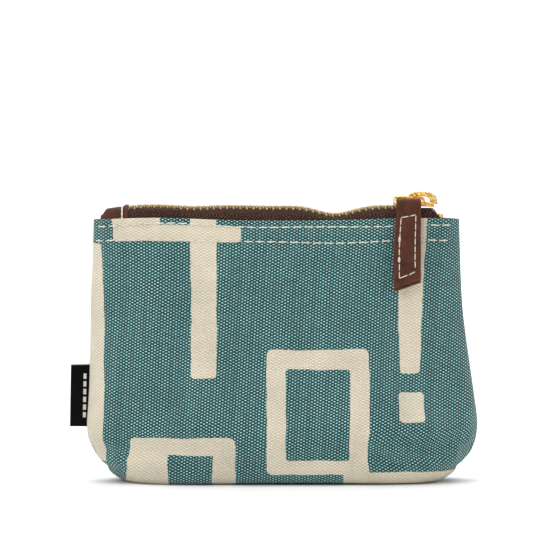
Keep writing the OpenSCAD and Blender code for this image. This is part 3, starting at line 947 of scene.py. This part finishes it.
def surface_frame(side, x, z):
    """Point on the canvas at x and height z, with its rightward and outward directions."""
    def at(px, pz):
        across = (px - middle_x(pz)) / half_width(pz)
        return Vector(wall(side, across, pz).tolist())
    here = at(x, z)
    right = (at(x + 0.5 * MM, z) - at(x - 0.5 * MM, z)).normalized()
    up = (at(x, z + 0.5 * MM) - at(x, z - 0.5 * MM)).normalized()
    out = right.cross(up).normalized()
    if out.y * side < 0:
        out = -out
    return here, right, out


def stitch_mesh(start, end, out, thick):
    """One stitch: a thread that bows up out of one needle hole and down into the next."""
    rings = 9
    around = 8
    run = end - start
    tangent = run.normalized()
    wide = tangent.cross(out).normalized()
    verts = []
    uvs = []
    for i in range(rings):
        t = i / (rings - 1)
        bow = math.sin(math.pi * t) ** 0.45
        centre = start + run * t + out * (thick * (0.62 * bow - 0.32))
        girth = thick / 2 * (0.55 + 0.45 * math.sin(math.pi * t) ** 0.4)
        for k in range(around):
            a = 2 * math.pi * k / around
            verts.append(centre + (wide * math.cos(a) + out * math.sin(a) * 0.8) * girth)
            uvs.append(((t - 0.5) * run.length, k / around * thick * 3))
    return verts, tube_faces(rings, around), uvs


def stitches_object(name, runs, thick):
    """Every (start, end, outward) of runs as a stitch, in one mesh."""
    verts = []
    faces = []
    uvs = []
    for start, end, out in runs:
        v, f, uv = stitch_mesh(start, end, out, thick)
        faces += [tuple(i + len(verts) for i in face) for face in f]
        verts += v
        uvs += uv
    made = new_object(name, [tuple(v) for v in verts], faces, THREAD)
    set_uv(made, uvs)
    return made


def topstitch_runs(side, right):
    runs = []
    count = int((67 * MM if right else 71 * MM) / STITCH_PITCH)
    for row, below in enumerate(STITCH_ROWS):
        for i in range(count):
            centre = (i + 0.5) * STITCH_PITCH * (1 if right else -1) - 1.2 * MM * row
            wander = 0.25 * MM * math.sin(centre / (9 * MM) + row * 2)
            z = PANEL_H - below + wander + 0.6 * MM * bump(centre, -32 * MM, 26 * MM)
            tilt = 0.05 * math.sin(i * 2.3 + row)
            here, along, out = surface_frame(side, centre, z)
            reach = along * STITCH_L / 2 + Vector((0, 0, tilt * STITCH_L / 2))
            runs.append((here - reach, here + reach, out))
    return runs


def build_topstitching():
    for side, word in SIDES:
        for right in (False, True):
            name = half_name("topstitch", word, right)
            piece = stitches_object(name, topstitch_runs(side, right), 0.52 * MM)
            swing(piece)
            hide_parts(f"{word}_topstitching", "topstitching_ends")


# ---------------------------------------------------------------- zipper

def tape_points(side, xs):
    """From inside the hem up to the chain. Rows rise."""
    rows = []
    across = (xs - middle_x(PANEL_H)) / half_width(PANEL_H)
    inset = CLOTH_T + 0.15 * MM
    for below in (10, 7, 4, 2, 0.9):
        rows.append(wall(side, across, PANEL_H - below * MM, inset))
    start = rows[-1]
    chain = CHAIN_Z + chain_wave(xs)
    pinch = np.clip(1 - np.abs(across) ** 16, 0, 1)
    end = np.stack([xs, side * 1.3 * MM * pinch, chain - 0.25 * MM], axis=-1)
    # where the slider stops, the tape hangs outside its lower flange and turns into the slot only at the top
    parked = np.zeros((len(xs), 1))
    for stop_x in (SLIDER_X, SLIDER_X - ZIP_TRAVEL):
        parked[:, 0] += smooth((SLIDER_L / 2 + 2 * MM - np.abs(xs - stop_x)) / (2 * MM))
    for t in np.linspace(0, 1, 11)[1:]:
        low = start + (end - start) * np.array([0, 0.15, 1.0])
        rise = start * (1 - t) ** 2 + low * 2 * t * (1 - t) + end * t ** 2
        square = start + (end - start) * np.array([0, t ** 7, 1 - (1 - t) ** 1.6])
        rise = rise + (square - rise) * parked * np.array([0, 1, 1])
        ripple = 0.25 * MM * math.sin(math.pi * t) * np.sin(xs / (5 * MM) + side)
        rise[:, 1] += side * ripple
        rows.append(rise)
    return np.array(rows)


def build_tape():
    edges = {False: np.linspace(TAPE_LEFT, 0, 70), True: np.linspace(0, TAPE_RIGHT, 70)}
    for side, word in SIDES:
        for right, xs in edges.items():
            points = tape_points(side, xs)
            uv = np.stack(np.broadcast_arrays(xs[None, :], lengths(points, 0)), axis=-1)
            name = half_name("tape", word, right)
            piece = grid_object(name, points, uv, TAPE, flip=side == BACK)
            thicken(piece, TAPE_T)
            swing(piece)
            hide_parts(f"{word}_zipper_tape", "zipper_tape_ends")


def tooth_block():
    """One tooth about the origin, its head towards +Y: a waisted block with a rounded head and two legs."""
    length = 1.35 * MM
    # from the legs to the head: y, then half the width and half the height as shares of length and TOOTH_H
    profile = [(-TOOTH_REACH - 0.1 * MM, 0.26, 0.22), (-TOOTH_REACH + 0.15 * MM, 0.44, 0.42),
               (-TOOTH_REACH + 0.6 * MM, 0.52, 0.5), (-1.7 * MM, 0.52, 0.5), (-1.0 * MM, 0.47, 0.47),
               (-0.4 * MM, 0.44, 0.44), (0.1 * MM, 0.4, 0.4), (0.45 * MM, 0.3, 0.28), (0.55 * MM, 0.14, 0.12)]
    around = 12
    kit = bmesh.new()
    rings = []
    for y, wide, tall in profile:
        ring = []
        for k in range(around):
            a = 2 * math.pi * (k + 0.5) / around
            x = math.copysign(abs(math.cos(a)) ** 0.7, math.cos(a))
            z = math.copysign(abs(math.sin(a)) ** 0.7, math.sin(a))
            ring.append(kit.verts.new((x * wide * length, y, z * tall * TOOTH_H)))
        rings.append(ring)
    for a, b in zip(rings, rings[1:]):
        for k in range(around):
            kit.faces.new((a[k], a[(k + 1) % around], b[(k + 1) % around], b[k]))
    kit.faces.new(rings[0][::-1])
    kit.faces.new(rings[-1])
    bmesh.ops.recalc_face_normals(kit, faces=kit.faces[:])
    mesh = bpy.data.meshes.new("tooth")
    kit.to_mesh(mesh)
    kit.free()
    verts = np.array([v.co for v in mesh.vertices])
    faces = [tuple(p.vertices) for p in mesh.polygons]
    bpy.data.meshes.remove(mesh)
    return verts, faces


def place_tooth(verts, x, side):
    """The tooth's points at x on the chain, leaning with the chain's slope."""
    slope = math.atan2(chain_wave(x + MM) - chain_wave(x - MM), 2 * MM)
    c, s = math.cos(slope), math.sin(slope)
    moved = verts * np.array([1, -side, 1])
    return np.stack([x + moved[:, 0] * c - moved[:, 2] * s, moved[:, 1],
                     CHAIN_Z + chain_wave(x) + moved[:, 0] * s + moved[:, 2] * c], axis=-1)


def build_teeth():
    verts, faces = tooth_block()
    left_end = tab_high.x - 1.5 * MM
    right_end = slider_low.x + 1.0 * MM
    for side, word in SIDES:
        phase = 0.0 if side == FRONT else 0.5
        turned = [face[::-1] for face in faces] if side == FRONT else faces
        places = [(i + phase) * TOOTH_PITCH for i in range(-40, 40)]
        places = [x for x in places if left_end < x < right_end]
        for right in (False, True):
            chosen = [x for x in places if (x >= 0) == right]
            all_verts = np.concatenate([place_tooth(verts, x, side) for x in chosen])
            firsts = [k * len(verts) for k in range(len(chosen))]
            all_faces = [tuple(i + first for i in face) for first in firsts for face in turned]
            name = half_name("teeth", word, right)
            piece = new_object(name, all_verts, all_faces, BRASS)
            swing(piece)
            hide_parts(f"{word}_teeth", "teeth_at_ends")


def build_stops():
    """Clips that end the two rows beside the parked slider."""
    parts = []
    for side in (FRONT, BACK):
        x = slider_high.x + 1.1 * MM
        kit = bmesh.new()
        bmesh.ops.create_cube(kit, size=1.0)
        bmesh.ops.scale(kit, vec=(1.7 * MM, 2.2 * MM, 2.1 * MM), verts=kit.verts)
        bmesh.ops.bevel(kit, geom=kit.edges[:], offset=0.45 * MM, segments=3, affect="EDGES", profile=0.6)
        middle = (x, side * 1.75 * MM, CHAIN_Z + chain_wave(x) - 0.2 * MM)
        bmesh.ops.translate(kit, vec=middle, verts=kit.verts)
        mesh = bpy.data.meshes.new("stop")
        kit.to_mesh(mesh)
        kit.free()
        parts.append(bpy.data.objects.new("stop", mesh))
    parts[0].data.materials.append(GOLD)
    piece = join("top_stop_clips", parts)
    piece.data.shade_smooth()
    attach(piece, "pouch")
    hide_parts("top_stops")


# ---------------------------------------------------------------- slider

def slab(name, outline, low, high, rounding):
    """A flat plate from an outline in X and Y, with rounded edges."""
    count = len(outline)
    verts = [(x, y, z) for z in (low, high) for x, y in outline]
    sides = [(k, (k + 1) % count, count + (k + 1) % count, count + k) for k in range(count)]
    faces = sides + [tuple(range(count))[::-1], tuple(range(count, 2 * count))]
    made = new_object(name, verts, faces, GOLD)
    bevelled(made, rounding)
    return made


def tip(made):
    """The parked slider sits nose up: everything on it tips down a little towards its right end."""
    pivot = Matrix.Translation((SLIDER_X, 0, CHAIN_Z))
    lift = Matrix.Translation((0, 0, SLIDER_LIFT))
    made.data.transform(lift @ pivot @ Matrix.Rotation(SLIDER_TIP, 4, "Y") @ pivot.inverted())


def slider_outline(grow=0.0):
    """Seen from above: narrow where the teeth are joined, broad where they part."""
    points = []
    for k in range(48):
        a = 2 * math.pi * k / 48
        x = math.copysign(abs(math.cos(a)) ** 0.6, math.cos(a)) * (SLIDER_L / 2 + grow)
        flare = 0.84 + 0.16 * float(smooth((x / SLIDER_L + 0.5) * 1.4))
        y = math.copysign(abs(math.sin(a)) ** 0.55, math.sin(a)) * (SLIDER_W / 2 + grow) * flare
        points.append((SLIDER_X + x, y))
    return points


def build_slider():
    half = TOOTH_H / 2 + 0.5 * MM
    plate = 0.7 * MM
    rounding = 0.26 * MM
    top = slab("slider_top_plate", slider_outline(), CHAIN_Z + half, CHAIN_Z + half + plate, rounding)
    foot = CHAIN_Z - half
    under = slab("slider_under_plate", slider_outline(-0.3 * MM), foot - plate, foot, rounding)
    slot = 0.45 * MM
    outer = SLIDER_W / 2 - 0.25 * MM
    inner = TOOTH_REACH + 0.35 * MM
    left = SLIDER_X - SLIDER_L / 2 + 1.6 * MM
    right = SLIDER_X + SLIDER_L / 2 - 1.6 * MM
    rails = []
    for side in (FRONT, BACK):
        edge = [(x, side * y) for x, y in ((left, inner), (right, inner), (right, outer), (left, outer))]
        if side == FRONT:
            edge = edge[::-1]
        for low, high in ((slot, half + 0.1 * MM), (-half - 0.1 * MM, -slot)):
            rails.append(slab("rail", edge, CHAIN_Z + low, CHAIN_Z + high, 0.2 * MM))
    piece = join("slider_plates", [top, under, *rails])
    piece.data.shade_smooth()
    tip(piece)
    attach(piece, "slider")
    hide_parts("slider_body")


def build_crown():
    """The bridge over the slider: a strap of metal bent into an arch, swelling towards its feet."""
    centre = (crown_low.x + crown_high.x) / 2
    reach = (crown_high.x - crown_low.x) / 2
    tall = crown_high.z - crown_low.z
    steps = 28
    verts = []
    for k in range(steps + 1):
        a = math.pi * k / steps
        c, s = math.cos(a), max(0.0, math.sin(a))
        outer = Vector((reach * math.copysign(abs(c) ** 0.85, c), tall * s ** 0.62))
        inner = Vector((3.1 * MM * c, 2.6 * MM * s ** 0.45))
        half = (crown_high.y - crown_low.y) / 2 * (1.05 - 0.18 * s)
        for point, y in ((outer, -half), (outer, half), (inner, half), (inner, -half)):
            verts.append((centre + point.x, y, crown_low.z - 0.15 * MM + point.y))
    piece = new_object("slider_crown_arch", verts, tube_faces(steps + 1, 4), GOLD)
    face_outwards(piece)
    bevelled(piece, 0.4 * MM, 4, 40)
    tip(piece)
    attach(piece, "slider")
    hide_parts("slider_crown")


# ---------------------------------------------------------------- leather

TAB_TOP = 106.2 * MM
TAB_STITCH_IN = 2.3 * MM
STRAP_W = strap_high.x - strap_low.x
STRAP_T = 1.0 * MM
STRAP_L = 34.5 * MM
BAR = Vector(joints["strap_swing"]["pos_m"])
STRAP_LEAN = math.radians(12.5)
STRAP_CUT = math.radians(21)


def strap_place(across, out, down):
    """Point of the strap from its own axes: across the width, out from its middle, down from the bar."""
    y = -out * math.cos(STRAP_LEAN) - down * math.sin(STRAP_LEAN)
    z = out * math.sin(STRAP_LEAN) - down * math.cos(STRAP_LEAN)
    fallen = float(smooth(down / (20 * MM)))
    across = across * (1 + 0.1 * fallen)
    sway = -0.25 * MM - 0.7 * MM * fallen
    return (BAR.x + across + sway, BAR.y + y, BAR.z + z)


def strap_path():
    """Middle line of the folded strip as (out, down), from the back layer's end to the front layer's end."""
    gap = STRAP_T / 2 + 0.06 * MM
    wire_radius = 0.65 * MM
    turn = wire_radius + 0.1 * MM + STRAP_T / 2
    back = [(-gap, d * MM) for d in np.linspace(35, 5, 24)]
    back += [(-gap - (turn - gap) * float(smooth((5 - d) / 4.2)), d * MM) for d in (4, 3, 2, 1.2)]
    bend = [(-turn * math.cos(a), -turn * math.sin(a)) for a in np.linspace(0, math.pi, 15)]
    front = [(-o, d) for o, d in back[::-1]]
    return back + bend + front


def build_strap():
    path = strap_path()
    edge = STRAP_T / 2
    half = STRAP_W / 2
    ring = []
    for k in range(9):
        a = math.pi * k / 8 - math.pi / 2
        ring.append((half - edge * 0.7 + edge * 0.7 * math.cos(a), edge * math.sin(a)))
    flat = np.linspace(half - edge, -half + edge, 9)[1:-1]
    section = ring + [(x, edge) for x in flat] + [(-x, -y) for x, y in ring] + [(-x, -edge) for x in flat]
    verts = []
    uvs = []
    run = 0.0
    for i, (out, down) in enumerate(path):
        before = path[max(i - 1, 0)]
        after = path[min(i + 1, len(path) - 1)]
        d_out, d_down = after[0] - before[0], after[1] - before[1]
        size = math.hypot(d_out, d_down)
        n_out, n_down = -d_down / size, d_out / size
        run += math.hypot(out - before[0], down - before[1])
        front_layer = i >= len(path) // 2
        for x, t in section:
            # the end is cut on the slant, and the back layer shows a little below the front one
            shorter = 1.3 * MM if front_layer else 0.2 * MM
            slant = STRAP_L - shorter - math.tan(STRAP_CUT) * (x + half)
            verts.append(strap_place(x, out + n_out * t, min(down + n_down * t, slant)))
            uvs.append((x, run))
    piece = new_object("leather_strap", verts, tube_faces(len(path), len(section)), LEATHER)
    set_uv(piece, uvs)
    face_outwards(piece, merge=0.01 * MM)
    piece.data.shade_smooth()
    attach(piece, "strap")
    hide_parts("pull_strap")


def build_strap_stitches():
    """A rectangle of stitches through both layers, with a doubled stitch low on each long side.

    A stitch is (x, down, x, down), the downs in millimetres from the bar."""
    half = STRAP_W / 2 - 2.0 * MM
    face = STRAP_T + 0.1 * MM
    long_sides = [(-half, down, -half, down + 2.6) for down in np.arange(6.0, 29.3 - 2, 2.95)]
    long_sides += [(half, down, half, down + 2.6) for down in np.arange(4.9, 26.6 - 2, 2.95)]
    ends = []
    for down, drop in ((5.8, -1.2), (29.3, -2.6)):
        ends.append((-half, down, half * 0.05, down + drop / 2))
        ends.append((half * 0.2, down + drop / 2, half, down + drop))
    doubled = []
    for down in (13.4, 21.2):
        for shift in (-0.3 * MM, 0.15 * MM):
            doubled.append((shift - half, down, shift - half, down + 1.8))
    outward = Vector((0, -math.cos(STRAP_LEAN), math.sin(STRAP_LEAN)))
    runs = []
    for sign in (-1, 1):
        for lift, stitches in ((face, long_sides + ends), (face + 0.2 * MM, doubled)):
            for x0, down0, x1, down1 in stitches:
                start = Vector(strap_place(x0, sign * lift, down0 * MM))
                end = Vector(strap_place(x1, sign * lift, down1 * MM))
                runs.append((start, end, outward * sign))
    piece = stitches_object("strap_stitches", runs, 0.4 * MM)
    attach(piece, "strap")
    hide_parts("pull_strap_stitching")


def tab_section(x):
    """Half depth, top and foot of the leather tab at x. Its open end has a rolled lip and a groove."""
    t = (tab_high.x - x) / (tab_high.x - tab_low.x)
    lip = 0.45 * MM * bump(x, tab_high.x - 0.8 * MM, 0.9 * MM)
    lip -= 0.3 * MM * bump(x, tab_high.x - TAB_STITCH_IN, 0.6 * MM)
    tall = TAB_TOP - 1.6 * MM * t - 2.2 * MM * float(smooth((t - 0.78) / 0.22)) + lip
    across = (x - middle_x(PANEL_H)) / half_width(PANEL_H)
    half = MOUTH_HALF_D * (1 - abs(across) ** 14) - CLOTH_T + 0.1 * MM + lip
    foot = PANEL_H - 2.0 * MM
    return half, tall, foot


def tab_point(x, a):
    """Point of the tab's outer face: a turns from 0 at the front foot to pi at the back one."""
    half, tall, foot = tab_section(x)
    y = -half * math.copysign(abs(math.cos(a)) ** 0.55, math.cos(a))
    return (x, y, foot + (tall - foot) * math.sin(a) ** 0.75)


def build_tab():
    xs = np.linspace(tab_high.x + 0.2 * MM, tab_low.x - 0.2 * MM, 40)
    points = np.array([[tab_point(x, a) for a in np.linspace(0.001, math.pi - 0.001, 41)] for x in xs])
    uv = np.stack([lengths(points, 1), np.broadcast_to(-xs[:, None], points.shape[:2])], axis=-1)
    piece = grid_object("leather_end_tab", points, uv, LEATHER)
    thicken(piece, 1.1 * MM)
    bevelled(piece, 0.35 * MM, 3, 50)
    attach(piece, "pouch")
    # the bottom stop is under the tab, out of sight, so the tab takes its place too
    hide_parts("end_tab", "bottom_stop")
    x = tab_high.x - TAB_STITCH_IN
    runs = []
    for side in (FRONT, BACK):
        out = Vector((0, side * 0.9, 0.4))
        turns = [a if side == FRONT else math.pi - a for a in (0.1, 0.35, 0.7, 1.1, 1.45)]
        spots = [Vector(tab_point(x, a)) + out * 0.5 * MM for a in turns]
        runs += [(a, b, out) for a, b in zip(spots, spots[1:])]
    stitches = stitches_object("end_tab_stitches", runs, 0.75 * MM)
    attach(stitches, "pouch")
    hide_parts("end_tab_stitch")


# ---------------------------------------------------------------- label

def build_label():
    """A ribbon folded at its outer edge, both ends caught in the side seam."""
    caught = 1.2 * MM
    long = label_high.x - label_low.x + caught
    tall = label_high.z - label_low.z
    half = 0.3 * MM
    around = [(t, -half) for t in np.linspace(0, 1, 14)]
    around += [(1 + 0.04 * math.sin(a), -half * math.cos(a)) for a in np.linspace(0, math.pi, 9)[1:-1]]
    around += [(t, half) for t in np.linspace(1, 0, 14)]
    rows = []
    for v in np.linspace(0, 1, 30):
        row = []
        for t, y in around:
            x = label_high.x + caught - long * t
            shear = 0.45 * MM * v
            curl = 0.5 * MM * t * t * math.sin(2.2 * v + 0.4)
            row.append((x + shear, y - curl, label_low.z + tall * v + 0.25 * MM * t * (0.5 - v)))
        rows.append(row)
    points = np.array(rows)
    run = lengths(points, 1)
    run = np.minimum(run, run[:, -1:] - run)
    height = np.broadcast_to(np.linspace(0, tall, 30)[:, None], run.shape)
    piece = grid_object("side_label_ribbon", points, np.stack([run, height], axis=-1), LABEL)
    thicken(piece, 0.25 * MM)
    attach(piece, "pouch")
    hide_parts("side_label")


# ---------------------------------------------------------------- stage

def area_light(name, place, target, size, energy):
    data = bpy.data.lights.new(name, "AREA")
    data.shape = "SQUARE"
    data.size = size
    data.energy = energy
    lamp = bpy.data.objects.new(name, data)
    lamp.location = place
    lamp.rotation_euler = (Vector(target) - Vector(place)).to_track_quat("-Z", "Y").to_euler()
    bpy.context.scene.collection.objects.link(lamp)


def sweep():
    """Paper floor that curves up into a backdrop."""
    curve = 0.6
    back = 3.0
    tall = 3.0
    half = 3.2
    profile = [(-back, 0.0), (0.0, 0.0)]
    for a in np.linspace(0, math.pi / 2, 25):
        profile.append((back - curve + curve * math.sin(a), curve - curve * math.cos(a)))
    profile.append((back, tall))
    points = np.array([[(x, y, z) for x in (-half, 0, half)] for y, z in profile])
    made = new_object("floor", points, grid_faces(len(profile), 3), floor_material())


def build_stage():
    sweep()
    middle = (0, 0, PANEL_H / 2)
    area_light("key", (-0.7, -1.0, 0.9), middle, 0.7, KEY)
    area_light("fill", (1.0, -0.9, 0.45), middle, 1.0, FILL)
    area_light("low", (-0.1, -1.2, 0.12), (0, 0, 0), 0.6, LOW)
    area_light("top", (0.0, 0.3, 1.3), (0, 0.1, 0), 1.6, TOP)
    area_light("backdrop_light", (0.0, 1.6, 1.8), (0, 3.0, 0.5), 1.4, BACKDROP)
    world = bpy.data.worlds.new("studio")
    world.use_nodes = True
    background = world.node_tree.nodes["Background"]
    background.inputs["Color"].default_value = (1, 1, 1, 1)
    background.inputs["Strength"].default_value = WORLD
    bpy.context.scene.world = world
    bpy.context.scene.view_settings.view_transform = "Standard"


def build_camera():
    data = bpy.data.cameras.new("camera")
    data.lens = 300
    data.sensor_width = 36
    view_width = 205 * MM
    distance = view_width * data.lens / data.sensor_width
    elevation = math.radians(3)
    target = Vector((-5.2 * MM, 0, 82.6 * MM))
    camera = bpy.data.objects.new("camera", data)
    away = Vector((0, -math.cos(elevation), math.sin(elevation)))
    camera.location = target + away * distance
    camera.rotation_euler = (-away).to_track_quat("-Z", "Y").to_euler()
    bpy.context.scene.collection.objects.link(camera)
    bpy.context.scene.camera = camera


def finish_cad_nodes():
    """The ring's CAD shape is right, and the seam allowance is hidden: they only need materials."""
    for node, material in (("pull_ring", GOLD), ("side_seams", SEAM)):
        made = frame["nodes"][node]
        made.data.materials.clear()
        made.data.materials.append(material)
        made.data.shade_smooth()


settled_field = finer(simulated_shell())
build_camera()
build_walls()
build_base()
build_lining()
build_topstitching()
build_tape()
build_teeth()
build_stops()
build_slider()
build_crown()
build_strap()
build_strap_stitches()
build_tab()
build_label()
finish_cad_nodes()
build_stage()
